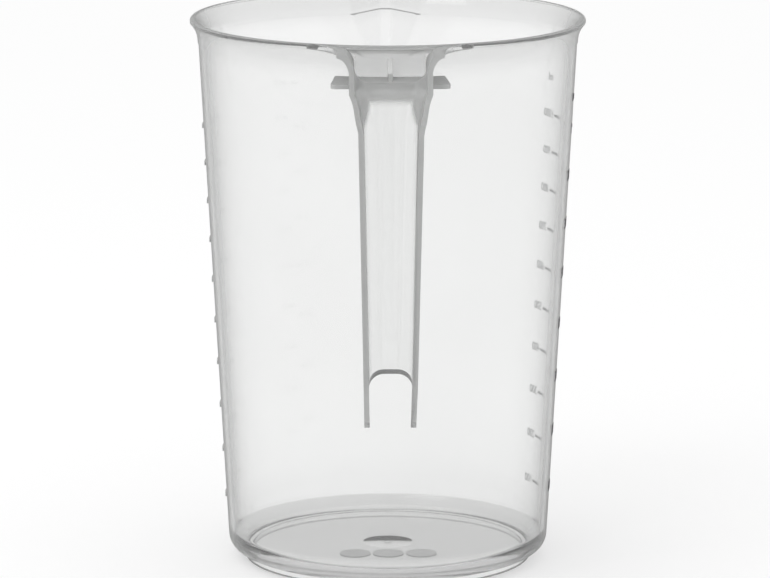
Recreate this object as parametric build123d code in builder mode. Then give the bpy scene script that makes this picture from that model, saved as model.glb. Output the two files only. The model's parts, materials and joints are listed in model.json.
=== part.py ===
from build123d import *
from math import atan, cos, degrees, pi, radians, sin, tan
import os

# Resin mixing cup: a one litre jug moulded in one piece from clear polypropylene, in millimetres.
# The origin is the middle of the foot, +Z is up, the handle points to -Y and the spout to +Y.

# Cup, driving dimensions
height = 164.0
base_radius = 47.65  # outside of the wall, carried down to the foot's plane
rim_radius = 56.75  # outside of the wall, carried up to the rim's plane
wall = 1.4
floor_thickness = 1.8
foot_height = 2.15
foot_radius = 43.0
foot_width = 2.3
foot_chamfer = 0.5
corner_radius = 5.2
inner_corner_radius = 6.2

# Floor, marks left by the mould
gate_radius = 8.0
gate_depth = 0.6
vestige_radius = 1.1
pad_radius = 4.6
pad_pitch = 9.9
pad_offset = 14.0
pad_stand = 0.35

# Rim
band_height = 7.2  # from the band's lower edge to the top of the lip
band_stand = 0.3  # how far the band stands proud of the wall
band_straight = 0.8
lip_flare_angle = 42.0
lip_chamfer = 0.5
rim_blend_radius = 4.5  # in the corners between rim and spout

# Spout
spout_height = 25.0  # from where it leaves the wall to the band
spout_reach = 12.0  # beyond the wall, at the band
spout_flank_angle = 35.0
nose_half_width = 2.15
nose_low_half_width = 1.3
nose_radius = 1.9  # between nose and flanks, on the outside
spout_root = 6.0  # how deep the outline starts behind the wall's outside
spout_run_out = 3.0  # the outlines start this far below the spout

# Backing of the handle, a thin step on the outside of the wall
backing_depth = 10.8  # below the band
backing_low_half_width = 28.6
backing_top_half_width = 36.5
backing_low_radius = 8.0
backing_top_radius = 6.0

# Handle, a channel that is open outwards and at its lower end
handle_wall = 1.5
finger_gap = 14.4  # between backing and web, under the shelf
web_lean = 2.0  # the web comes this much nearer to the axis on its way down
web_length = 83.0  # from the shelf's top to the end of the web
flange_depth = 15.5  # from the web's front to the free edges
flange_length = 96.0  # from the shelf's top to the tips
tip_radius = 2.0
top_half_width = 11.9  # over the flanges, above the shelf
neck_half_width = 9.3
neck_drop = 11.5  # below the shelf's top
tip_half_width = 7.6
throat_radius = 8.0
flare_half_width = 24.0  # where the flanges' tops run into the lip
flare_radius = 4.5
flare_drop = 0.9  # how much lower the flare starts than it ends
flare_root_half_width = 15.5  # seen from above, where the flare's edge leaves the lip's direction
flare_root_radius = 10.0
shoulder_drop = 21.0  # from the lip's top down to where the free edges run straight
trough_radius = 4.5
trough_most_share = 0.75  # of half the width between the flanges at the tips

# Shelf, its lugs and its gusset
shelf_drop = 9.4  # from the lip's top to the shelf's top
shelf_thickness = 1.2
shelf_wall_half_width = 15.4
shelf_front_half_width = 17.2
lug_radius = 1.6
knee_radius = 5.0  # between shelf and web, on the outside
gusset_thickness = 1.4
gusset_depth = 8.5
gusset_height = 6.2

# Graduations
litre = 1e6
hundred = litre / 10
eighth = litre / 8
last_hundred = 10
last_eighth = 8
tick_height = 0.8
printed_stand = 0.12
raised_stand = 0.45
tick_length = 7.0
printed_hundreds_angle = 105.0  # from the handle, towards +X
printed_eighths_angle = 92.0
raised_hundreds_angle = -91.0
raised_eighths_angle = -104.0

overrun = 5.0  # how far cutting solids run past what they cut

# Worked out from the dimensions above
taper = (rim_radius - base_radius) / height
lean = degrees(atan(taper))
floor_top = foot_height + floor_thickness
band_low = height - band_height
spout_low = band_low - spout_height
lip_thickness = wall + band_stand
corner_turn = (90 - lean) / 2
seam_height = floor_top + inner_corner_radius * tan(radians(corner_turn)) * cos(radians(lean))
shelf_top = height - shelf_drop
shelf_low = shelf_top - shelf_thickness


def wall_at(z):
    """Outside radius of the wall at a height."""
    return base_radius + taper * z


web_back = wall_at(shelf_low) + band_stand + finger_gap
web_front = web_back + handle_wall
free_edge = web_front + flange_depth
web_end = shelf_top - web_length
tip_height = shelf_top - flange_length
shoulder_low = height - shoulder_drop


def save(piece, label):
    piece.part.label = label
    export_step(piece.part, f"parts/{label}.step")


os.makedirs("parts", exist_ok=True)


def round_body(low, high, stand):
    """Solid frustum that follows the wall's outside, standing proud of it by stand."""
    with BuildPart() as body:
        with BuildSketch(Plane.XZ):
            with BuildLine():
                Polyline(
                    (0, low),
                    (wall_at(low) + stand, low),
                    (wall_at(high) + stand, high),
                    (0, high),
                    close=True,
                )
            make_face()
        revolve(axis=Axis.Z)
    return body.part


def wall_skin(low, high, stand):
    """Thin ring on the wall's outside."""
    with BuildPart() as skin:
        with BuildSketch(Plane.XZ):
            with BuildLine():
                Polyline(
                    (wall_at(low), low),
                    (wall_at(low) + stand, low),
                    (wall_at(high) + stand, high),
                    (wall_at(high), high),
                    close=True,
                )
            make_face()
        revolve(axis=Axis.Z)
    return skin.part


# Cup: floor and wall in one section, parted where the wall runs straight
with BuildPart() as cup_blank:
    with BuildSketch(Plane.XZ) as cup_section:
        with BuildLine():
            Polyline(
                (0, foot_height),
                (wall_at(foot_height), foot_height),
                (wall_at(band_low), band_low),
                (wall_at(band_low) - wall, band_low),
                (wall_at(floor_top) - wall, floor_top),
                (0, floor_top),
                close=True,
            )
        make_face()
        low_corner = cup_section.vertices().group_by(Axis.Y)[0].sort_by(Axis.X)[-1]
        fillet(low_corner, corner_radius)
        inner_corner = cup_section.vertices().sort_by_distance((wall_at(floor_top) - wall, floor_top))[0]
        fillet(inner_corner, inner_corner_radius)
    revolve(axis=Axis.Z)

with BuildPart() as cup_floor:
    add(cup_blank.part)
    split(bisect_by=Plane.XY.offset(seam_height), keep=Keep.BOTTOM)
    with BuildSketch(Plane.XZ):
        with BuildLine():
            Line((0, foot_height), (gate_radius, foot_height))
            ThreePointArc(
                (gate_radius, foot_height),
                (gate_radius / 2, foot_height + gate_depth * 3 / 4),
                (0, foot_height + gate_depth),
            )
            Line((0, foot_height + gate_depth), (0, foot_height))
        make_face()
    revolve(axis=Axis.Z, mode=Mode.SUBTRACT)
    with BuildSketch(Plane.XY.offset(foot_height)):
        Circle(vestige_radius)
    extrude(amount=gate_depth)
save(cup_floor, "cup_floor")

with BuildPart() as foot_ring:
    with BuildSketch(Plane.XZ) as foot_section:
        with Locations((foot_radius - foot_width / 2, foot_height / 2)):
            Rectangle(foot_width, foot_height)
        chamfer(foot_section.vertices().group_by(Axis.Y)[0], foot_chamfer)
    revolve(axis=Axis.Z)
save(foot_ring, "foot_ring")

with BuildPart() as floor_pads:
    with BuildSketch(Plane.XY.offset(foot_height - pad_stand)):
        with Locations((0, -pad_offset)):
            with GridLocations(pad_pitch, 0, 3, 1):
                Circle(pad_radius)
    extrude(amount=pad_stand)
save(floor_pads, "floor_pads")


# Spout: flat flanks and a narrow flat nose that grow out of the wall
def nose_at(z):
    """Distance of the nose's outside from the axis at a height."""
    return wall_at(z) + spout_reach * (z - spout_low) / spout_height


def nose_half_at(z):
    """Half the width of the nose's outside at a height."""
    return nose_low_half_width + (nose_half_width - nose_low_half_width) * (z - spout_low) / spout_height


def spout_solid(inset, high):
    """Solid between the flanks and behind the nose, drawn in by inset."""
    low = spout_low - spout_run_out
    slope = radians(spout_flank_angle)
    widening = nose_half_at(high) - nose_half_at(low)
    with BuildPart() as body:
        with BuildSketch(Plane.YZ):
            with BuildLine():
                Polyline(
                    (wall_at(low) - spout_root, low),
                    (nose_at(low) - inset, low),
                    (nose_at(high) - inset, high),
                    (wall_at(high) - spout_root, high),
                    close=True,
                )
            make_face()
        extrude(amount=spout_reach + spout_root, both=True)
        for side in (-1, 1):
            along = Vector(side * sin(slope), -cos(slope), 0)
            rise = Vector(side * widening, nose_at(high) - nose_at(low), high - low)
            inward = along.cross(rise).normalized() * side
            corner = Vector(side * nose_half_at(low), nose_at(low), low)
            split(bisect_by=Plane(corner + inward * inset, x_dir=along, z_dir=inward), keep=Keep.TOP)
        nose_edges = body.faces().sort_by(Axis.Y)[-1].edges().sort_by(Axis.X)
        fillet([nose_edges[0], nose_edges[-1]], nose_radius - inset)
    return body.part


with BuildPart() as pouring_spout:
    add(spout_solid(0, band_low))
    add(spout_solid(wall, band_low + overrun), mode=Mode.SUBTRACT)
    add(round_body(spout_low - spout_run_out - overrun, band_low + overrun, 0), mode=Mode.SUBTRACT)
save(pouring_spout, "pouring_spout")

with BuildPart() as cup_wall:
    add(cup_blank.part)
    split(bisect_by=Plane.XY.offset(seam_height), keep=Keep.TOP)
    add(spout_solid(wall, band_low + overrun), mode=Mode.SUBTRACT)
save(cup_wall, "cup_wall")

# Rim: band, flare and rounded edge in one section, swept along the rim and out round the spout
with BuildSketch(Plane.XY.offset(band_low)) as rim_outline:
    Circle(wall_at(band_low))
    add(spout_solid(0, band_low).faces().sort_by(Axis.Z)[-1])
    beside_nose = rim_outline.vertices().filter_by(lambda v: v.Y > 0 and abs(v.X) > 2 * nose_half_width)
    fillet(beside_nose.filter_by(lambda v: abs(v.X) < wall_at(band_low) / 2), rim_blend_radius)
rim_path = rim_outline.sketch.face().outer_wire()
outward = Vector((rim_path @ 0).X, (rim_path @ 0).Y, 0)
rim_start = Plane(rim_path @ 0, x_dir=outward, z_dir=outward.cross(Vector(0, 0, 1)))

flare_end = radians(lean + lip_flare_angle)
lip_end_rise = lip_thickness / 2 * sin(flare_end) - lip_chamfer * min(sin(flare_end), cos(flare_end))
lip_rise = height - lip_end_rise - band_low - band_straight * cos(radians(lean))
flare_bend_radius = lip_rise / (sin(flare_end) - sin(radians(lean)))

with BuildPart() as rim_lip:
    with BuildSketch(rim_start) as lip_section:
        with BuildLine():
            below = ((band_stand - wall) / 2 - overrun * taper, -overrun)
            straight = PolarLine(below, overrun / cos(radians(lean)) + band_straight, angle=90 - lean)
            flare = JernArc(straight @ 1, straight % 1, flare_bend_radius, -lip_flare_angle)
        trace(line_width=lip_thickness)
        with Locations((0, -overrun)):
            Rectangle(4 * overrun, 2 * overrun, mode=Mode.SUBTRACT)
        lip_end = lip_section.vertices().group_by(Axis.X)[-1] + lip_section.vertices().group_by(Axis.Y)[-1]
        chamfer(lip_end, lip_chamfer)
    sweep(path=rim_path)
save(rim_lip, "rim_lip")
crest_radius = wall_at(band_low) + (flare @ 1).X

# Backing: the wall is a little thicker behind the handle
with BuildPart() as handle_backing:
    add(wall_skin(band_low - backing_depth, band_low, band_stand))
    with BuildSketch(Plane.XZ) as backing_outline:
        with BuildLine():
            far = 2 * backing_top_half_width
            Polyline(
                (-far, band_low + overrun),
                (-far, band_low),
                (-backing_top_half_width, band_low),
                (-backing_low_half_width, band_low - backing_depth),
                (backing_low_half_width, band_low - backing_depth),
                (backing_top_half_width, band_low),
                (far, band_low),
                (far, band_low + overrun),
                close=True,
            )
        make_face()
        fillet(backing_outline.vertices().group_by(Axis.Y)[0], backing_low_radius)
        at_band = backing_outline.vertices().filter_by(lambda v: abs(v.Y - band_low) < wall)
        fillet(at_band.filter_by(lambda v: abs(v.X) < far - wall), backing_top_radius)
    extrude(amount=2 * rim_radius, mode=Mode.INTERSECT)
save(handle_backing, "handle_backing")

# What the handle's pieces are cut to: everything inside the outside of wall, backing and lip
with BuildPart() as cup_core:
    add(round_body(0, band_low, band_stand))
    with BuildSketch(Plane.XZ):
        with BuildLine():
            Polyline(
                (0, band_low),
                (wall_at(band_low) - wall / 2, band_low),
                (crest_radius, height - lip_end_rise),
                (crest_radius, height),
                (0, height),
                close=True,
            )
        make_face()
    revolve(axis=Axis.Z)
    add(rim_lip.part)

# Handle: a bent web between two flanges, a channel of U section below the knee
handle_side = Plane((0, 0, 0), x_dir=(0, -1, 0), z_dir=(-1, 0, 0))  # x is the distance from the axis
neck_height = shelf_top - neck_drop
knee_low = shelf_top - knee_radius
knee_start = web_back - knee_radius
channel_low = tip_height - overrun
flare_height = height - handle_wall
trough = min(trough_radius, trough_most_share * (tip_half_width - handle_wall))


def web_at(z):
    """Distance of the web's front from the axis at a height."""
    return web_front - web_lean * (shelf_top - z) / web_length


def between_sides(inset):
    """Solid between the flanges' outer faces as seen from the front, drawn in by inset."""
    low_half_width = neck_half_width - (neck_half_width - tip_half_width) * (neck_height - channel_low) / (
        neck_height - tip_height
    )
    with BuildPart() as body:
        with BuildSketch(Plane.XZ):
            with BuildLine():
                right = FilletPolyline(
                    (low_half_width - inset, channel_low),
                    (neck_half_width - inset, neck_height),
                    (top_half_width - inset, knee_low),
                    (top_half_width - inset, height),
                    radius=[throat_radius + inset, throat_radius + handle_wall - inset],
                )
                mirror(about=Plane.YZ)
                Line((inset - low_half_width, channel_low), right @ 0)
                Line((inset - top_half_width, height), right @ 1)
            make_face()
        extrude(amount=free_edge + overrun)
    return body.part


def channel_body(inset, level):
    """Solid in front of the web and over the knee, drawn in by inset from the channel's outside."""
    with BuildPart() as body:
        with BuildSketch(handle_side):
            with BuildLine():
                behind = handle_wall - inset
                bend = FilletPolyline(
                    (web_at(channel_low) - behind, channel_low),
                    (web_at(level) - behind, level),
                    (knee_start, level),
                    radius=knee_radius - behind,
                )
                Polyline(
                    bend @ 1,
                    (knee_start, height),
                    (free_edge + overrun, height),
                    (free_edge + overrun, channel_low),
                    bend @ 0,
                )
            make_face()
        extrude(amount=2 * top_half_width, both=True)
        add(between_sides(inset), mode=Mode.INTERSECT)
        lengthwise = body.edges().filter_by(lambda e: abs(e.center().X) > wall)
        at_web = lengthwise.filter_by(lambda e: -e.center().Y < web_front and e.center().Z < level + wall)
        fillet(at_web, trough + behind)
    return body.part


# Outline of the flanges from the side: shoulder, free edge, slanting lower end and web
with BuildPart() as flange_side:
    with BuildSketch(handle_side) as side_outline:
        shoulder_start = rim_radius - 2 * wall
        tip = (web_at(tip_height) + flange_depth, tip_height)
        with BuildLine():
            shoulder_centre = (shoulder_start, shoulder_low)
            shoulder_reach = free_edge - shoulder_start
            shoulder = EllipticalCenterArc(shoulder_centre, shoulder_reach, shoulder_drop, arc_size=90)
            Polyline(
                shoulder @ 1,
                (shoulder_start, shelf_top),
                (knee_start, shelf_top),
                (knee_start, web_end),
                (web_at(web_end) - handle_wall, web_end),
                tip,
                shoulder @ 0,
            )
        make_face()
        fillet(side_outline.vertices().sort_by_distance(tip)[0], tip_radius)
    extrude(amount=2 * flare_half_width, both=True)

# Outline of the flare from above: it runs out along the lip
with BuildPart() as flare_plan:
    with BuildSketch() as flare_outline:
        Circle(crest_radius + lip_thickness / 2)
        with Locations((0, -free_edge)):
            Rectangle(2 * flare_root_half_width, 2 * free_edge)
        beside_lip = flare_outline.vertices().filter_by(lambda v: -free_edge < v.Y < 0)
        fillet(beside_lip, flare_root_radius)
    extrude(amount=height)

with BuildPart() as channel:
    add(channel_body(0, shelf_low))
    add(channel_body(handle_wall, shelf_top), mode=Mode.SUBTRACT)
    add(flange_side.part, mode=Mode.INTERSECT)

with BuildPart() as handle_web:
    add(channel.part)
    add(between_sides(handle_wall), mode=Mode.INTERSECT)
save(handle_web, "handle_web")

with BuildPart() as channel_sides:
    add(channel.part)
    split(bisect_by=Plane.XY.offset(shelf_top), keep=Keep.BOTTOM)
    add(between_sides(handle_wall), mode=Mode.SUBTRACT)

# Shelf across the top of the handle, with a lug on each side
with BuildPart() as handle_shelf:
    with BuildSketch(Plane.XY.offset(shelf_low)) as shelf_outline:
        with BuildLine():
            Polyline(
                (-shelf_wall_half_width, -wall_at(0)),
                (-shelf_front_half_width, -web_back),
                (shelf_front_half_width, -web_back),
                (shelf_wall_half_width, -wall_at(0)),
                close=True,
            )
        make_face()
        fillet(shelf_outline.vertices().group_by(Axis.Y)[0], lug_radius)
        with Locations((0, -web_front)):
            Rectangle(2 * (top_half_width - handle_wall), 2 * (web_front - knee_start), mode=Mode.SUBTRACT)
    extrude(amount=shelf_thickness)
    add(cup_core.part, mode=Mode.SUBTRACT)
save(handle_shelf, "handle_shelf")


def flange(side):
    """Flange on one side, -1 or 1 for its direction along X: channel below, flaring sheet above."""
    with BuildPart() as piece:
        with BuildSketch(Plane.XZ):
            with BuildLine():
                inset = handle_wall / 2
                FilletPolyline(
                    (side * (top_half_width - inset), shelf_top),
                    (side * (top_half_width - inset), flare_height - flare_drop + inset),
                    (side * flare_half_width, flare_height + inset),
                    radius=flare_radius,
                )
            trace(line_width=handle_wall)
        extrude(amount=free_edge + overrun)
        add(flange_side.part, mode=Mode.INTERSECT)
        add(flare_plan.part, mode=Mode.INTERSECT)
        add(channel_sides.part)
        split(bisect_by=Plane.YZ, keep=Keep.TOP if side > 0 else Keep.BOTTOM)
        add([cup_core.part, handle_web.part, handle_shelf.part], mode=Mode.SUBTRACT)
    return piece


for side, name in ((-1, "left"), (1, "right")):
    save(flange(side), f"handle_flange_{name}")

# Gusset on the shelf, against the wall
with BuildPart() as shelf_gusset:
    with BuildSketch(handle_side):
        with BuildLine():
            gusset_root = wall_at(shelf_top) + band_stand
            Polyline(
                (wall_at(0), shelf_top),
                (gusset_root + gusset_depth, shelf_top),
                (gusset_root, shelf_top + gusset_height),
                (wall_at(0), shelf_top + gusset_height),
                close=True,
            )
        make_face()
    extrude(amount=gusset_thickness / 2, both=True)
    add(cup_core.part, mode=Mode.SUBTRACT)
save(shelf_gusset, "shelf_gusset")

# Graduations: ticks at the heights that the volumes inside reach
floor_inner_radius = wall_at(floor_top) - wall
corner_loss = (1 - pi / 4) * inner_corner_radius**2 * 2 * pi * floor_inner_radius


def height_of(volume):
    """Height of the liquid's surface for a volume in the cup."""
    cone = (volume + corner_loss) * 3 * taper / pi
    return floor_top + ((cone + floor_inner_radius**3) ** (1 / 3) - floor_inner_radius) / taper


def scale(angle, stand, step, count):
    """Ticks one above the other on the wall's outside; the angle runs from the handle towards +X."""
    with BuildPart() as marks:
        for number in range(1, count + 1):
            z = height_of(number * step)
            turn = degrees(tick_length / wall_at(z))
            start = radians(angle - turn / 2)
            direction = Vector(sin(start), -cos(start), 0)
            low, high = z - tick_height / 2, z + tick_height / 2
            with BuildSketch(Plane((0, 0, 0), x_dir=direction, z_dir=direction.cross(Vector(0, 0, 1)))):
                with BuildLine():
                    Polyline(
                        (wall_at(low), low),
                        (wall_at(low) + stand, low),
                        (wall_at(high) + stand, high),
                        (wall_at(high), high),
                        close=True,
                    )
                make_face()
            revolve(axis=Axis.Z, revolution_arc=turn)
    return marks


save(scale(printed_hundreds_angle, printed_stand, hundred, last_hundred), "printed_hundreds")
save(scale(printed_eighths_angle, printed_stand, eighth, last_eighth), "printed_eighths")
save(scale(raised_hundreds_angle, raised_stand, hundred, last_hundred), "raised_hundreds")
save(scale(raised_eighths_angle, raised_stand, eighth, last_eighth), "raised_eighths")
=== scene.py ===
import json
import math

import bpy
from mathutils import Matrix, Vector, bvhtree

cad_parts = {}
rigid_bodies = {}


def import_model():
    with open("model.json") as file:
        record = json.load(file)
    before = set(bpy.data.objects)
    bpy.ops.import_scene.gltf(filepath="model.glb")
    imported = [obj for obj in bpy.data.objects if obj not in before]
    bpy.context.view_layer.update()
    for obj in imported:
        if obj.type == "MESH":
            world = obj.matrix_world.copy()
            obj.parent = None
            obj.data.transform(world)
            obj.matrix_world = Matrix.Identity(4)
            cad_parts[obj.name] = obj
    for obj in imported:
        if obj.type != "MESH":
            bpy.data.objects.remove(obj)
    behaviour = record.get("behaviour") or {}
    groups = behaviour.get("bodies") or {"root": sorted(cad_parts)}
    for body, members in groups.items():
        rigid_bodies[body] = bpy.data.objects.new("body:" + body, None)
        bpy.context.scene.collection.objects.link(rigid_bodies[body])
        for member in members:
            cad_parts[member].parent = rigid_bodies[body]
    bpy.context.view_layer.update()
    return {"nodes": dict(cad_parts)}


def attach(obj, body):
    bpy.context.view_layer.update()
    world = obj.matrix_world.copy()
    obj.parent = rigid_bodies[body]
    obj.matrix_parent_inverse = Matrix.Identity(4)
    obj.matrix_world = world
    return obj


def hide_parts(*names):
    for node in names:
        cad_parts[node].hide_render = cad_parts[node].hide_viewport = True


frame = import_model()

for leftover in [o for o in bpy.data.objects if o.name in ("Cube", "Light", "Camera")]:
    bpy.data.objects.remove(leftover)

# Resin mixing cup of clear polypropylene. Lengths are in millimetres here and become metres in the meshes.
MM = 0.001

# Dimensions of the cup, as in the part's source
HEIGHT = 164.0
BASE_RADIUS = 47.65
RIM_RADIUS = 56.75
WALL = 1.4
FLOOR_UNDER = 2.15
FLOOR_TOP = 3.95
CORNER_RADIUS = 5.2
INNER_CORNER_RADIUS = 6.2
FOOT_RADIUS = 43.0
FOOT_WIDTH = 2.3
FOOT_EDGE = 0.5
FOOT_FILLET = 0.35
GATE_RADIUS = 8.0
GATE_DEPTH = 0.6
VESTIGE_RADIUS = 1.1
VESTIGE_DRAFT = 0.1
VESTIGE_RISE = GATE_DEPTH * 0.97  # how far the gate mark's side runs up into the recess
BAND_LOW = 156.8
BAND_STAND = 0.3
LEDGE_EASED = 0.1  # the band's and backing's edge stands out by this much less
BAND_STRAIGHT = 0.8
LIP_THICKNESS = 1.7
LIP_CHAMFER = 0.5
FLARE_ANGLE = math.radians(42.0)
SPOUT_LOW = 131.8
SPOUT_HEIGHT = 25.0
SPOUT_REACH = 12.0
SPOUT_FLANK = math.radians(35.0)
NOSE_LOW_HALF = 1.3
NOSE_TOP_HALF = 2.15
NOSE_BLEND = 1.2  # how far the nose's corners are rounded
CREASE_LOW = 1.2  # how far the corners between wall and flanks are rounded
CREASE_MORE = 0.4  # how much more they are at the band
CREASE_RUN = 3.0
HANDLE_HALF = 24.0  # the handle lies within this of the middle
TAPER = (RIM_RADIUS - BASE_RADIUS) / HEIGHT
LEAN = math.atan(TAPER)

# Fineness of the turned shape
PLAIN_STEPS = 200
SPOUT_STEPS = 120
SPOUT_SECTOR = math.radians(16.0)
SPOUT_ROWS = 42
SPOUT_MARGIN = 1.0  # the fine rows begin this far under the spout
OUTLINE_STEP = math.radians(0.05)  # turn over which the outline's direction is taken
GATE_STEPS = 8
FILLET_STEPS = 3
EDGE_STEPS = 4
CORNER_STEPS = 14
LIP_STEPS = 12
FLOOR_RING = 24.0
WALL_LEVELS = (20, 40, 60, 80, 100, 120)
TURNED_SEAM = 1e-6  # doubles nearer than this many metres are merged
CAD_SEAM = 1e-7
JOIN_SEAM = 1e-9


def wall_at(z):
    """Outside radius of the wall at a height."""
    return BASE_RADIUS + TAPER * z


def select_only(*pieces):
    bpy.ops.object.select_all(action="DESELECT")
    for piece in pieces:
        piece.select_set(True)
    bpy.context.view_layer.objects.active = pieces[0]


def edit(piece):
    select_only(piece)
    bpy.ops.object.mode_set(mode="EDIT")


def leave_edit():
    bpy.ops.object.mode_set(mode="OBJECT")


def tidy_mesh(piece, distance):
    """Merges doubles and turns all faces outwards."""
    edit(piece)
    bpy.ops.mesh.select_all(action="SELECT")
    bpy.ops.mesh.remove_doubles(threshold=distance)
    bpy.ops.mesh.normals_make_consistent(inside=False)
    leave_edit()


def arc(centre, radius, start, end, steps):
    """Points on an arc, angles in radians from the outward direction towards up."""
    return [
        (
            centre[0] + radius * math.cos(start + (end - start) * i / steps),
            centre[1] + radius * math.sin(start + (end - start) * i / steps),
        )
        for i in range(steps + 1)
    ]


# The middle line of band and lip: straight, then bent outwards
band_middle = wall_at(BAND_LOW) + (BAND_STAND - WALL) / 2
flare_end = LEAN + FLARE_ANGLE
chamfer_rise = LIP_CHAMFER * min(math.sin(flare_end), math.cos(flare_end))
end_rise = LIP_THICKNESS / 2 * math.sin(flare_end) - chamfer_rise
flare_rise = HEIGHT - end_rise - BAND_LOW - BAND_STRAIGHT * math.cos(LEAN)
flare_radius = flare_rise / (math.sin(flare_end) - math.sin(LEAN))
bend_start = (band_middle + BAND_STRAIGHT * math.sin(LEAN), BAND_LOW + BAND_STRAIGHT * math.cos(LEAN))
bend_centre = (
    bend_start[0] + flare_radius * math.cos(LEAN),
    bend_start[1] - flare_radius * math.sin(LEAN),
)


def lip_line(offset, steps):
    """Points along band and flare, offset outwards from the middle line."""
    points = [(band_middle + offset, BAND_LOW)]
    radius = flare_radius - offset
    points += arc(bend_centre, radius, math.pi - LEAN, math.pi - flare_end, steps)
    return points


def base_corner(level, radius, inset):
    """Corner between floor and wall, from the floor outwards; the inset is measured from the wall's outside."""
    reach = radius * math.tan((math.pi / 2 - LEAN) / 2)
    centre = (wall_at(level) - inset - reach, level + radius)
    return arc(centre, radius, -math.pi / 2, -LEAN, CORNER_STEPS)


def section():
    """Section of the cup from the axis under the floor, round the outside and the lip, to the axis above it."""
    inner = FOOT_RADIUS - FOOT_WIDTH
    quarter = math.pi / 2
    # underside with the recess and mark of the gate
    points = [(0, FLOOR_UNDER), (VESTIGE_RADIUS, FLOOR_UNDER)]
    points.append((VESTIGE_RADIUS + VESTIGE_DRAFT, FLOOR_UNDER + VESTIGE_RISE))
    first = VESTIGE_RADIUS / GATE_RADIUS
    for i in range(1, GATE_STEPS + 1):
        share = first + (1 - first) * i / GATE_STEPS
        points.append((GATE_RADIUS * share, FLOOR_UNDER + GATE_DEPTH * (1 - share**2)))
    # foot
    points += [(FLOOR_RING, FLOOR_UNDER), (inner - FOOT_FILLET, FLOOR_UNDER)]
    fillet_low = FLOOR_UNDER - FOOT_FILLET
    points += arc((inner - FOOT_FILLET, fillet_low), FOOT_FILLET, quarter, 0, FILLET_STEPS)
    points += arc((inner + FOOT_EDGE, FOOT_EDGE), FOOT_EDGE, math.pi, math.pi * 1.5, EDGE_STEPS)
    points += arc((FOOT_RADIUS - FOOT_EDGE, FOOT_EDGE), FOOT_EDGE, -quarter, 0, EDGE_STEPS)
    points += arc((FOOT_RADIUS + FOOT_FILLET, fillet_low), FOOT_FILLET, math.pi, quarter, FILLET_STEPS)
    # outside of the wall, with rows of points where the spout is pulled out
    points += base_corner(FLOOR_UNDER, CORNER_RADIUS, 0)
    points += [(wall_at(z), z) for z in WALL_LEVELS]
    for i in range(SPOUT_ROWS + 1):
        z = SPOUT_LOW - SPOUT_MARGIN + (SPOUT_HEIGHT + SPOUT_MARGIN) * i / SPOUT_ROWS
        points.append((wall_at(z), z))
    # band, flare and rounded edge; the eased ledge fades out along the flare
    half = LIP_THICKNESS / 2
    full = lip_line(half, LIP_STEPS)
    thin = lip_line(half - LEDGE_EASED, LIP_STEPS)
    for i, (near, far) in enumerate(zip(thin, full[:-1])):
        points.append(tuple(a + (b - a) * i / len(full) for a, b in zip(near, far)))
    tip = Vector(lip_line(0, 1)[-1])
    along = Vector((math.sin(flare_end), math.cos(flare_end)))
    turn = quarter - flare_end
    points += arc(tip - along * half, half, turn - quarter, turn + quarter, LIP_STEPS)
    points += lip_line(-half, LIP_STEPS)[-2::-1]
    # inside of the wall and top of the floor
    for i in range(1, SPOUT_ROWS + 1):
        z = BAND_LOW - (SPOUT_HEIGHT + SPOUT_MARGIN) * i / SPOUT_ROWS
        points.append((wall_at(z) - WALL, z))
    points += [(wall_at(z) - WALL, z) for z in reversed(WALL_LEVELS)]
    points += reversed(base_corner(FLOOR_TOP, INNER_CORNER_RADIUS, WALL))
    points += [(FLOOR_RING, FLOOR_TOP), (0, FLOOR_TOP)]
    return points


def turned(name, points):
    """A section drawn as a chain of edges and spun round the axis, finer in the sector of the spout."""
    bpy.ops.object.select_all(action="DESELECT")
    bpy.ops.mesh.primitive_plane_add(size=MM, location=(0, 0, 0))
    piece = bpy.context.active_object
    piece.name = name
    bpy.ops.object.mode_set(mode="EDIT")
    bpy.ops.mesh.merge(type="CENTER")
    # the section stands in the plane where the spout's sector ends
    side = Vector((math.sin(SPOUT_SECTOR), math.cos(SPOUT_SECTOR), 0))
    places = [side * (r * MM) + Vector((0, 0, z * MM)) for r, z in points]
    bpy.ops.transform.translate(value=places[0])
    for before, after in zip(places, places[1:]):
        bpy.ops.mesh.extrude_region_move(TRANSFORM_OT_translate={"value": after - before})
    bpy.ops.mesh.select_all(action="SELECT")
    turns = ((2 * (math.pi - SPOUT_SECTOR), PLAIN_STEPS), (2 * SPOUT_SECTOR, SPOUT_STEPS))
    for angle, steps in turns:
        bpy.ops.mesh.spin(steps=steps, angle=angle, center=(0, 0, 0), axis=(0, 0, 1))
    leave_edit()
    tidy_mesh(piece, TURNED_SEAM)
    return piece


def smooth_max(a, b, width):
    """The larger of two values, rounded where they cross."""
    return max(a, b) + max(width - abs(a - b), 0) ** 2 / (4 * width)


def smooth_step(x):
    """Rises softly from 0 to 1 as x does."""
    x = min(max(x, 0), 1)
    return x * x * (3 - 2 * x)


def outline_point(level, turn):
    """Point of the wall's outline at a height; the turn runs from the spout's middle."""
    share = (level - SPOUT_LOW) / SPOUT_HEIGHT
    nose = wall_at(level) + SPOUT_REACH * share
    half = NOSE_LOW_HALF + (NOSE_TOP_HALF - NOSE_LOW_HALF) * share
    flat = nose / math.cos(turn)
    corner = math.sin(SPOUT_FLANK) * nose + math.cos(SPOUT_FLANK) * half
    flank = corner / math.sin(abs(turn) + SPOUT_FLANK)
    wedge = -smooth_max(-flat, -flank, NOSE_BLEND)
    crease = CREASE_LOW + CREASE_MORE * smooth_step((level - BAND_LOW + CREASE_RUN) / CREASE_RUN)
    reach = smooth_max(wall_at(level), wedge, crease)
    return Vector((reach * math.sin(turn), reach * math.cos(turn)))


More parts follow.
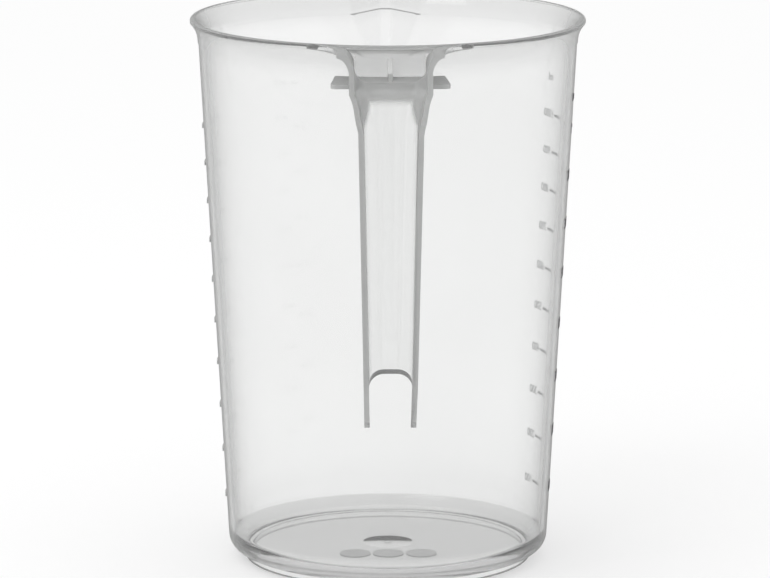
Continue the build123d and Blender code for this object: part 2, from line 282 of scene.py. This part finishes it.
def pull_spout(piece):
    """Moves wall, band and lip out along the spout's outline."""
    for vertex in piece.data.vertices:
        x, y, z = vertex.co / MM
        turn = math.atan2(x, y)
        if abs(turn) > SPOUT_SECTOR + OUTLINE_STEP or z < SPOUT_LOW - 1.5 * SPOUT_MARGIN:
            continue
        level = min(z, BAND_LOW)
        offset = math.hypot(x, y) - wall_at(level)
        run = outline_point(level, turn + OUTLINE_STEP) - outline_point(level, turn - OUTLINE_STEP)
        place = outline_point(level, turn) + Vector((-run.y, run.x)).normalized() * offset
        vertex.co = Vector((place.x, place.y, z)) * MM


cup = turned("jug_body", section())
pull_spout(cup)

# How the copied pieces of the handle and the thin pieces on wall and floor go into the cup
OVERLAP = 0.03  # the handle's pieces are this much fuller, so that they overlap where they meet
SINK = 0.3  # how near to the middle line of wall and lip the handle's roots reach
TOUCH = 0.97  # points nearer to the middle line than this are roots
THIN_BACK = 0.12  # points nearer to the wall than this are the back of a thin piece
THIN_SINK = 0.4  # how far the backs of thin pieces go in
BACKING_RISE = 0.3  # how far the backing's top goes up into the band
LEVEL_SLACK = 0.05  # points this near to a level still lie on it


def lip_distance(r, z):
    """Distance from the middle line of wall, band and lip, with the nearest point on it."""
    best = (math.inf, None)
    low = (wall_at(0) - (WALL - BAND_STAND) / 2, 0)
    chain = [low, (band_middle, BAND_LOW)] + lip_line(0, 2 * LIP_STEPS)[1:]
    for (r0, z0), (r1, z1) in zip(chain, chain[1:]):
        length = (r1 - r0) ** 2 + (z1 - z0) ** 2
        share = min(max(((r - r0) * (r1 - r0) + (z - z0) * (z1 - z0)) / length, 0), 1)
        near = (r0 + (r1 - r0) * share, z0 + (z1 - z0) * share)
        distance = math.hypot(r - near[0], z - near[1])
        if distance < best[0]:
            best = (distance, near)
    return best


def cad_copy(node):
    """A copy of a CAD node with its own merged mesh."""
    copy = frame["nodes"][node].copy()
    copy.data = copy.data.copy()
    copy.name = "part_" + node
    copy.parent = None
    for key in list(copy.keys()):
        del copy[key]
    bpy.context.scene.collection.objects.link(copy)
    copy.data.materials.clear()
    edit(copy)
    bpy.ops.mesh.select_all(action="SELECT")
    bpy.ops.mesh.remove_doubles(threshold=CAD_SEAM)
    leave_edit()
    return copy


def joined(keep, part):
    """The union of two closed shapes; the second is used up."""
    select_only(keep)
    union = keep.modifiers.new("union", "BOOLEAN")
    union.operation = "UNION"
    union.solver = "EXACT"
    union.object = part
    bpy.ops.object.modifier_apply(modifier=union.name)
    bpy.data.objects.remove(part)


def swollen(piece, distance):
    edit(piece)
    bpy.ops.mesh.select_all(action="SELECT")
    bpy.ops.transform.shrink_fatten(value=distance * MM)
    leave_edit()


def moved_in(r, z):
    """A place that touches wall or lip is moved further in; any other stays."""
    distance, near = lip_distance(r, z)
    if distance > TOUCH:
        return r, z
    share = SINK / max(distance, SINK)
    return near[0] + (r - near[0]) * share, near[1] + (z - near[1]) * share


def rooted(piece):
    """Moves the roots of a piece of the handle into wall and lip."""
    for vertex in piece.data.vertices:
        x, y, z = vertex.co / MM
        r = math.hypot(x, y)
        new_r, new_z = moved_in(r, z)
        vertex.co = Vector((x * new_r / r, y * new_r / r, new_z)) * MM


def sunk(piece):
    """Moves the back of a thin piece on the wall into the wall."""
    for vertex in piece.data.vertices:
        x, y, z = vertex.co / MM
        r = math.hypot(x, y)
        if r < wall_at(z) + THIN_BACK:
            vertex.co.x *= (r - THIN_SINK) / r
            vertex.co.y *= (r - THIN_SINK) / r


def raised_above(piece, level, rise):
    """Moves what lies at or over a level up."""
    for vertex in piece.data.vertices:
        if vertex.co.z > (level - LEVEL_SLACK) * MM:
            vertex.co.z += rise * MM


# The handle, the step behind it and the raised marks grow out of the cup in one skin
handle = None
for node in ("handle_web", "handle_flange_left", "handle_flange_right", "handle_shelf", "shelf_gusset"):
    piece = cad_copy(node)
    swollen(piece, OVERLAP)
    rooted(piece)
    if handle is None:
        handle = piece
    else:
        joined(handle, piece)

backing, hundreds_marks, eighths_marks = [
    cad_copy(node) for node in ("handle_backing", "raised_hundreds", "raised_eighths")
]
for piece in (backing, hundreds_marks, eighths_marks):
    sunk(piece)
for vertex in backing.data.vertices:
    out = math.hypot(vertex.co.x, vertex.co.y) / MM
    if out > wall_at(vertex.co.z / MM) + BAND_STAND / 2:
        vertex.co.x *= 1 - LEDGE_EASED / out
        vertex.co.y *= 1 - LEDGE_EASED / out
raised_above(backing, BAND_LOW, BACKING_RISE)
pads = cad_copy("floor_pads")
raised_above(pads, FLOOR_UNDER, THIN_SINK)
for piece in (backing, handle, hundreds_marks, eighths_marks, pads):
    joined(cup, piece)

# How far the channel's sides stand in at each height, where they curve in under the lugs
NECK_IN = (
    (141.0, 0.0),
    (143.5, 0.12),
    (146.0, 0.5),
    (147.2, 0.75),
    (148.4, 1.0),
    (149.6, 1.13),
    (150.4, 1.1),
    (151.1, 0.98),
    (152.0, 0.7),
    (152.9, 0.3),
    (153.6, 0.0),
)
NECK_HALF = 12.8  # the sides lie within this of the middle
NECK_FULL = 7.0  # beside the middle the curve grows up to here
NECK_OUT = 1.5  # what lies nearer to the wall than this stays
NECK_MARGIN = 0.5
OFF_WALL = 0.2  # the handle's faces lie further out than this
SLIVER = 0.02

# The prongs' tips are moved as a whole, so that their rounding stays
PRONG_END = 65.5
PRONG_OUT = 3.0
PRONG_LONGER = 3.0
PRONG_LEAN = 0.5

# Shading
CREASE_ANGLE = math.radians(32)
FACE_WEIGHT = 60


def neck_in(x, y, z):
    """How far a place on the handle moves towards its middle."""
    inside = math.hypot(x, y) < wall_at(z) + NECK_OUT
    if inside or abs(x) > NECK_HALF or not NECK_IN[0][0] < z < NECK_IN[-1][0]:
        return 0.0
    for (low, first), (high, second) in zip(NECK_IN, NECK_IN[1:]):
        if z <= high:
            depth = first + (second - first) * (z - low) / (high - low)
            return depth * smooth_step(abs(x) / NECK_FULL)


def on_handle(x, y, z):
    return y < 0 and abs(x) < HANDLE_HALF and math.hypot(x, y) > wall_at(z) + OFF_WALL


def select_handle(piece, low, high):
    """Enters edit mode with the handle's faces between two heights selected."""
    edit(piece)
    bpy.context.tool_settings.mesh_select_mode = (False, False, True)
    bpy.ops.mesh.select_all(action="DESELECT")
    leave_edit()
    for face in piece.data.polygons:
        places = [piece.data.vertices[i].co / MM for i in face.vertices]
        face.select = all(on_handle(*place) and low < place.z < high for place in places)
    edit(piece)


def taper_neck(piece):
    """Curves the handle's sides in under the lugs and lengthens the prongs."""
    for level, _ in NECK_IN:
        select_handle(piece, 0, HEIGHT)
        bpy.ops.mesh.bisect(plane_co=(0, 0, level * MM), plane_no=(0, 0, 1))
        leave_edit()
    for vertex in piece.data.vertices:
        x, y, z = vertex.co / MM
        if y < 0:
            vertex.co.x -= math.copysign(neck_in(x, y, z), x) * MM
        if -y > wall_at(z) + PRONG_OUT and z < PRONG_END:
            vertex.co.z -= PRONG_LONGER * MM
            vertex.co.x -= PRONG_LEAN * MM if x > 0 else 0
    select_handle(piece, NECK_IN[0][0] - NECK_MARGIN, NECK_IN[-1][0] + NECK_MARGIN)
    bpy.ops.mesh.dissolve_degenerate(threshold=SLIVER * MM)
    leave_edit()


def smooth_skin(piece):
    """Smooth shading with creases, flat faces keeping their own direction."""
    select_only(piece)
    bpy.ops.mesh.customdata_custom_splitnormals_clear()
    bpy.ops.object.shade_smooth()
    edit(piece)
    bpy.context.tool_settings.mesh_select_mode = (False, True, False)
    bpy.ops.mesh.select_all(action="DESELECT")
    bpy.ops.mesh.edges_select_sharp(sharpness=CREASE_ANGLE)
    bpy.ops.mesh.mark_sharp()
    leave_edit()
    weigh = piece.modifiers.new("weigh", "WEIGHTED_NORMAL")
    weigh.keep_sharp = True
    weigh.weight = FACE_WEIGHT
    bpy.ops.object.modifier_apply(modifier=weigh.name)


taper_neck(cup)
smooth_skin(cup)

# Haze of the plastic, from 0 for clear to 1 for milky, and painted shade given by place on the same scale
HAZE_DEPTH = 8.0  # how deep the plastic is where about a third of it still looks clear
DEEPEST = 30.0
RAY_START = 0.02  # a ray into the plastic starts this far under the skin
CORNER_INSET = 0.25  # and at this share of the way from a face's corner to its middle
HANDLE_SKIN = 1.2  # surfaces further from the wall than this belong to the handle
LIP_SHADE = 0.1
LIP_SHADE_LOW = 152.0
LIP_SHADE_RUN = 9.0
# The pads' faces under the floor are made greyer by this fixed share
PAD_GREY_SHARE = 0.45
PAD_INSET = 3.0
PAD_DROP = 0.02  # the pads' faces lie lower under the floor than this
# Painted shade: a greyer band round the base, outside the foot and lower than BASE_SHADE
BASE_PAINTED_SHADE = 0.16
BASE_SHADE = 7.6
BASE_OUT = 0.6
NECK_LOW = 141.0
NECK_RUN = 9.0
WEB_OUT = 64.0  # the web's outside lies further in front of the axis than this
# Painted shade on the handle's web: greyer in its side corners and at its knee
WEB_CORNER = 7.0
WEB_CORNER_IN = 1.8
CORNER_PAINTED_SHADE = 0.6
CORNER_RUN = 2.0
CORNER_RISE = 4.0
KNEE_LOW = 148.6
KNEE_RUN = 2.5
KNEE_PAINTED_SHADE = 0.55
# Painted shade in the trough between the flanges, above the shelf
SHELF_TOP = 154.6
TROUGH_HALF = 11.6
TROUGH_RUN = 1.5
TROUGH_PAINTED_SHADE = 0.36
NEAR_OUTSIDE = 0.5  # up to this far behind the wall's outside a place counts as outside
CLEAR_OUTSIDE = 0.1
# Painted shade in the handle's flare under the lip
FLARE_LOW = 160.5
FLARE_RUN = 1.5
FLARE_SIDE = 12.0
FLARE_PAINTED_SHADE = 0.6


def painted_shade_and_pad_grey(x, y, z):
    """Painted shade that a place is given besides its depth: the lip's shade, a band round the base, and the
    handle's web corners, knee, trough and flare; the pads get a fixed grey share.
    """
    out = math.hypot(x, y)
    haze_and_painted_shade = LIP_SHADE * smooth_step((z - LIP_SHADE_LOW) / LIP_SHADE_RUN)
    # the pads' faces get a fixed grey share
    if z < FLOOR_UNDER - PAD_DROP and out < FOOT_RADIUS - FOOT_WIDTH - PAD_INSET:
        return PAD_GREY_SHARE
    # painted shade in a band round the base
    if out > FOOT_RADIUS + BASE_OUT and z < BASE_SHADE:
        return BASE_PAINTED_SHADE
    if y > 0 or abs(x) > HANDLE_HALF or z < NECK_LOW:
        return haze_and_painted_shade
    # painted shade in the web's side corners and at its knee
    if -y > WEB_OUT:
        corner_at = WEB_CORNER - WEB_CORNER_IN * smooth_step((z - NECK_LOW) / NECK_RUN)
        corner = smooth_step((abs(x) - corner_at) / CORNER_RUN) * smooth_step((z - NECK_LOW) / CORNER_RISE)
        return max(CORNER_PAINTED_SHADE * corner, KNEE_PAINTED_SHADE * smooth_step((z - KNEE_LOW) / KNEE_RUN))
    # painted shade in the trough
    if out >= wall_at(z) - NEAR_OUTSIDE and z > SHELF_TOP:
        haze_and_painted_shade = max(haze_and_painted_shade, TROUGH_PAINTED_SHADE * smooth_step((TROUGH_HALF - abs(x)) / TROUGH_RUN))
    # painted shade in the flare
    if out > wall_at(z) + CLEAR_OUTSIDE:
        flare = smooth_step((z - FLARE_LOW) / FLARE_RUN) * smooth_step((HANDLE_HALF - abs(x)) / FLARE_SIDE)
        haze_and_painted_shade = max(haze_and_painted_shade, FLARE_PAINTED_SHADE * flare)
    return haze_and_painted_shade


def mark_haze_and_painted_shade(piece):
    """Stores how hazy each place looks from how thick the plastic is behind it, with the painted shade and the
    pads' grey share that go by where it is.
    """
    mesh = piece.data
    corners = [tuple(face.vertices) for face in mesh.polygons]
    tree = bvhtree.BVHTree.FromPolygons([v.co for v in mesh.vertices], corners)
    haze_and_painted_shade = mesh.attributes.new("depth_haze_and_painted_shade", "FLOAT", "CORNER")
    values = [0.0] * len(mesh.loops)
    normals = mesh.corner_normals
    for face in mesh.polygons:
        centre = face.center
        on_cup = math.hypot(centre.x, centre.y) < (wall_at(centre.z / MM) + HANDLE_SKIN) * MM
        for index in face.loop_indices:
            place = mesh.vertices[mesh.loops[index].vertex_index].co
            place = place + (centre - place) * CORNER_INSET
            share = 0
            if not on_cup:
                inward = -normals[index].vector
                hit = tree.ray_cast(place + inward * RAY_START * MM, inward, DEEPEST * MM)[3]
                depth = WALL if hit is None else hit / MM
                share = 1 - math.exp(-max(depth - WALL, 0) / HAZE_DEPTH)
            values[index] = max(share, painted_shade_and_pad_grey(*(place / MM)))
    haze_and_painted_shade.data.foreach_set("value", values)


mark_haze_and_painted_shade(cup)

# Printed scales: hundreds of millilitres on one side, eighths of a litre on the other
LITRE = 1e6
INK_STAND = 0.01
INK_THICKNESS = 0.1
TEXT_CURVE_STEPS = 3
TEXT_SEAM = 1e-4  # in millimetres, as the letters are drawn
SMALL_TEXT = 3.6
EIGHTHS_TEXT = 4.6
HUNDREDS_ANGLE = 113.2
EIGHTHS_ANGLE = 82.5
LITRE_ANGLE = 83.0
ML_HEIGHT = 142.5
LITRE_HEIGHT = 141.1


def height_of(volume):
    """Height in the cup that a volume in cubic millimetres reaches."""
    inner = wall_at(FLOOR_TOP) - WALL
    loss = (1 - math.pi / 4) * INNER_CORNER_RADIUS**2 * 2 * math.pi * inner
    cone = (volume + loss) * 3 * TAPER / math.pi
    return FLOOR_TOP + ((cone + inner**3) ** (1 / 3) - inner) / TAPER


def numeral(text, angle, z, size):
    """Lettering wrapped round the wall's outside; the angle runs from the handle towards +X."""
    bpy.ops.object.select_all(action="DESELECT")
    bpy.ops.object.text_add(location=(0, 0, 0))
    piece = bpy.context.active_object
    piece.data.body = text
    piece.data.size = size
    piece.data.align_x = "CENTER"
    piece.data.align_y = "CENTER"
    piece.data.extrude = INK_THICKNESS / 2
    piece.data.resolution_u = TEXT_CURVE_STEPS
    bpy.ops.object.convert(target="MESH")
    piece = bpy.context.active_object
    tidy_mesh(piece, TEXT_SEAM)
    for vertex in piece.data.vertices:
        x, y, out = vertex.co
        height = z + y
        r = wall_at(height) + INK_STAND + out + INK_THICKNESS / 2
        turn = math.radians(angle) + x / wall_at(z)
        vertex.co = Vector((r * math.sin(turn), -r * math.cos(turn), height)) * MM
    return piece


def together(pieces, name):
    select_only(*pieces)
    bpy.ops.object.join()
    piece = bpy.context.active_object
    piece.name = name
    tidy_mesh(piece, JOIN_SEAM)
    return piece


hundreds = [
    numeral(str(n * 100), HUNDREDS_ANGLE, height_of(n * LITRE / 10), SMALL_TEXT)
    for n in range(1, 11)
]
hundreds.append(numeral("ml", HUNDREDS_ANGLE, ML_HEIGHT, SMALL_TEXT))
ink_hundreds = together(hundreds, "printed_numbers_hundreds")
eighth_names = ("1/8", "1/4", "3/8", "1/2", "5/8", "3/4", "7/8", "1")
eighths = [
    numeral(text, EIGHTHS_ANGLE, height_of((n + 1) * LITRE / 8), EIGHTHS_TEXT)
    for n, text in enumerate(eighth_names)
]
eighths.append(numeral("litre", LITRE_ANGLE, LITRE_HEIGHT, SMALL_TEXT))
ink_eighths = together(eighths, "printed_numbers_eighths")


# Materials
class Value:
    """A socket whose arithmetic adds Math nodes."""

    def __init__(self, finish, socket):
        self.finish, self.socket = finish, socket

    def maths(self, operation, first, second):
        return self.finish.node("ShaderNodeMath", {"operation": operation}, {0: first, 1: second})

    def __add__(self, other):
        return self.maths("ADD", self, other)

    def __sub__(self, other):
        return self.maths("SUBTRACT", self, other)

    def __rsub__(self, other):
        return self.maths("SUBTRACT", other, self)

    def __mul__(self, other):
        return self.maths("MULTIPLY", self, other)

    __radd__ = __add__
    __rmul__ = __mul__


class Finish:
    """The nodes of a material, or of the world."""

    def __init__(self, data, output="ShaderNodeOutputMaterial"):
        self.data = data
        self.data.use_nodes = True
        self.tree = self.data.node_tree
        self.tree.nodes.clear()
        self.out = self.tree.nodes.new(output)

    def node(self, kind, settings=None, inputs=None, output=0):
        """Adds a node and returns one of its outputs, found by name or number."""
        made = self.tree.nodes.new(kind)
        for key, value in (settings or {}).items():
            setattr(made, key, value)
        for key, value in (inputs or {}).items():
            if isinstance(value, Value):
                self.tree.links.new(value.socket, made.inputs[key])
            else:
                made.inputs[key].default_value = value
        return Value(self, made.outputs[output])

    def mixed_colour(self, share, first, second):
        return self.node("ShaderNodeMix", {"data_type": "RGBA"}, {0: share, 6: first, 7: second}, 2)

    def mixed_shader(self, share, first, second):
        return self.node("ShaderNodeMixShader", {}, {0: share, 1: first, 2: second})

    def surface(self, shader):
        self.tree.links.new(shader.socket, self.out.inputs["Surface"])

    def volume(self, shader):
        self.tree.links.new(shader.socket, self.out.inputs["Volume"])


EDGE_HAZE = 1.7  # how fast the skin turns hazy towards a low angle
EDGE_HAZE_LESS = 1.6  # how much of that the floor goes without
CLOUD_HAZE = 0.03
LEAST_HAZE = 0.02
FLOOR_NEAR = 0.2  # what lies lower than this over the floor's top counts as floor


def clear_plastic():
    plastic = Finish(bpy.data.materials.new("clear_polypropylene"))
    place = plastic.node("ShaderNodeTexCoord", output="Object")
    peel = plastic.node("ShaderNodeTexNoise", {}, {"Vector": place, "Scale": 90.0, "Detail": 2.0})
    cloud = plastic.node("ShaderNodeTexNoise", {}, {"Vector": place, "Scale": 25.0, "Detail": 3.0})
    bump = plastic.node("ShaderNodeBump", {}, {"Strength": 0.04, "Distance": 0.0004, "Height": peel})
    glass = plastic.node(
        "ShaderNodeBsdfPrincipled",
        {},
        {
            "Base Color": (0.985, 0.987, 0.985, 1),
            "Roughness": cloud * 0.02 + 0.02,
            "IOR": 1.49,
            "Transmission Weight": 1.0,
            "Normal": bump,
        },
    )
    # milky share: half reflects, half lets light through
    # the stored share holds the haze from depth and the painted shade given by place
    stored_haze_and_shade = plastic.node("ShaderNodeAttribute", {"attribute_name": "depth_haze_and_painted_shade"}, output="Fac")
    milk = plastic.mixed_colour(stored_haze_and_shade, (0.55, 0.555, 0.55, 1), (0.7, 0.705, 0.7, 1))
    near_side = plastic.node(
        "ShaderNodeBsdfPrincipled", {}, {"Base Color": milk, "Roughness": 0.5, "Specular IOR Level": 0.1}
    )
    far_side = plastic.node("ShaderNodeBsdfTranslucent", {}, {"Color": (0.62, 0.625, 0.62, 1)})
    haze_and_painted_shade = plastic.mixed_shader(0.5, near_side, far_side)
    # more of it at a low angle, except on the floor
    facing = plastic.node("ShaderNodeLayerWeight", {}, {"Blend": 0.5}, "Facing")
    square = facing * facing
    height = plastic.node("ShaderNodeSeparateXYZ", {}, {"Vector": place}, "Z")
    on_floor = height.maths("LESS_THAN", height, (FLOOR_TOP + FLOOR_NEAR) * MM)
    edge = square * square * facing * (EDGE_HAZE - on_floor * EDGE_HAZE_LESS)
    skin = edge + cloud * CLOUD_HAZE + LEAST_HAZE
    share = skin + stored_haze_and_shade - skin * stored_haze_and_shade
    plastic.surface(plastic.mixed_shader(share, glass, haze_and_painted_shade))
    tint = {"Color": (0.5, 0.51, 0.5, 1), "Density": 10.0}
    plastic.volume(plastic.node("ShaderNodeVolumeAbsorption", {}, tint))
    return plastic.data


def scale_ink():
    ink = Finish(bpy.data.materials.new("scale_ink"))
    place = ink.node("ShaderNodeTexCoord", output="Object")
    wear = ink.node("ShaderNodeTexNoise", {}, {"Vector": place, "Scale": 900.0, "Detail": 4.0})
    tone = ink.mixed_colour(wear, (0.05, 0.05, 0.055, 1), (0.12, 0.12, 0.125, 1))
    paint = {"Base Color": tone, "Roughness": wear * 0.2 + 0.4}
    ink.surface(ink.node("ShaderNodeBsdfPrincipled", {}, paint))
    return ink.data


plastic = clear_plastic()
ink = scale_ink()
cup.data.materials.clear()
cup.data.materials.append(plastic)
for node in ("printed_hundreds", "printed_eighths"):
    for slot in frame["nodes"][node].material_slots:
        slot.material = ink
for piece in (ink_hundreds, ink_eighths):
    piece.data.materials.clear()
    piece.data.materials.append(ink)
    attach(piece, "root")
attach(cup, "root")
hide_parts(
    "cup_wall",
    "cup_floor",
    "foot_ring",
    "floor_pads",
    "rim_lip",
    "pouring_spout",
    "handle_backing",
    "handle_web",
    "handle_flange_left",
    "handle_flange_right",
    "handle_shelf",
    "shelf_gusset",
    "raised_hundreds",
    "raised_eighths",
)

# Floor, light and camera
STAGE_SIZE = 6.0  # metres, as are the lamp's size and place
FLOOR_GLOW = 0.5  # share of the floor's light that is its own, as the eye sees it
FLOOR_GLOW_THROUGH = 0.8  # and as seen through the plastic
GLOSSY_DARKER = 0.55  # reflections see a dimmer studio than the eye
LAMP_PLACE = (-0.5, -0.6, 1.0)
LAMP_AIM = (0, 0, 0.08)
LAMP_SIZE = 0.6
LAMP_POWER = 3
CAMERA_TURN = math.radians(0.66)
CAMERA_RISE = math.radians(11.15)
CAMERA_DISTANCE = 1600.0
CAMERA_AIM = 80.6
LENS = 249.1
SENSOR = 36.0
PICTURE_WIDTH_PX = 770
SHIFT_RIGHT_PX = -2.8
SHIFT_UP_PX = 2.9
FARTHEST = 20  # metres

bpy.ops.object.select_all(action="DESELECT")
bpy.ops.mesh.primitive_plane_add(size=STAGE_SIZE, location=(0, 0, 0))
floor = bpy.context.active_object
floor.name = "stage_floor"
pale = Finish(bpy.data.materials.new("stage_pale"))
plain = pale.node("ShaderNodeBsdfDiffuse", {}, {"Color": (0.93, 0.93, 0.93, 1)})
white = pale.node("ShaderNodeEmission", {}, {"Color": (1, 1, 1, 1), "Strength": 1.0})
by_eye = pale.node("ShaderNodeLightPath", output="Is Camera Ray")
through = pale.node("ShaderNodeLightPath", output="Is Transmission Ray")
pale.surface(pale.mixed_shader(by_eye * FLOOR_GLOW + through * FLOOR_GLOW_THROUGH, plain, white))
floor.data.materials.append(pale.data)

studio = Finish(bpy.data.worlds.new("studio"), "ShaderNodeOutputWorld")
bpy.context.scene.world = studio.data
glossy = studio.node("ShaderNodeLightPath", output="Is Glossy Ray")
studio.surface(
    studio.node("ShaderNodeBackground", {}, {"Color": (1, 1, 1, 1), "Strength": 1 - glossy * GLOSSY_DARKER})
)

bpy.ops.object.light_add(type="AREA", location=LAMP_PLACE)
lamp = bpy.context.active_object
lamp.data.energy = LAMP_POWER
lamp.data.size = LAMP_SIZE
lamp.visible_glossy = False
lamp.rotation_euler = (Vector(LAMP_AIM) - lamp.location).to_track_quat("-Z", "Y").to_euler()

aim = Vector((0, 0, CAMERA_AIM)) * MM
level = math.cos(CAMERA_RISE)
back = Vector((-math.sin(CAMERA_TURN) * level, -math.cos(CAMERA_TURN) * level, math.sin(CAMERA_RISE)))
bpy.ops.object.camera_add(location=aim + back * CAMERA_DISTANCE * MM)
camera = bpy.context.active_object
camera.rotation_euler = (-back).to_track_quat("-Z", "Y").to_euler()
camera.data.lens = LENS
camera.data.sensor_width = SENSOR
camera.data.shift_x = SHIFT_RIGHT_PX / PICTURE_WIDTH_PX
camera.data.shift_y = SHIFT_UP_PX / PICTURE_WIDTH_PX
camera.data.clip_end = FARTHEST
bpy.context.scene.camera = camera
bpy.context.scene.view_settings.view_transform = "Standard"
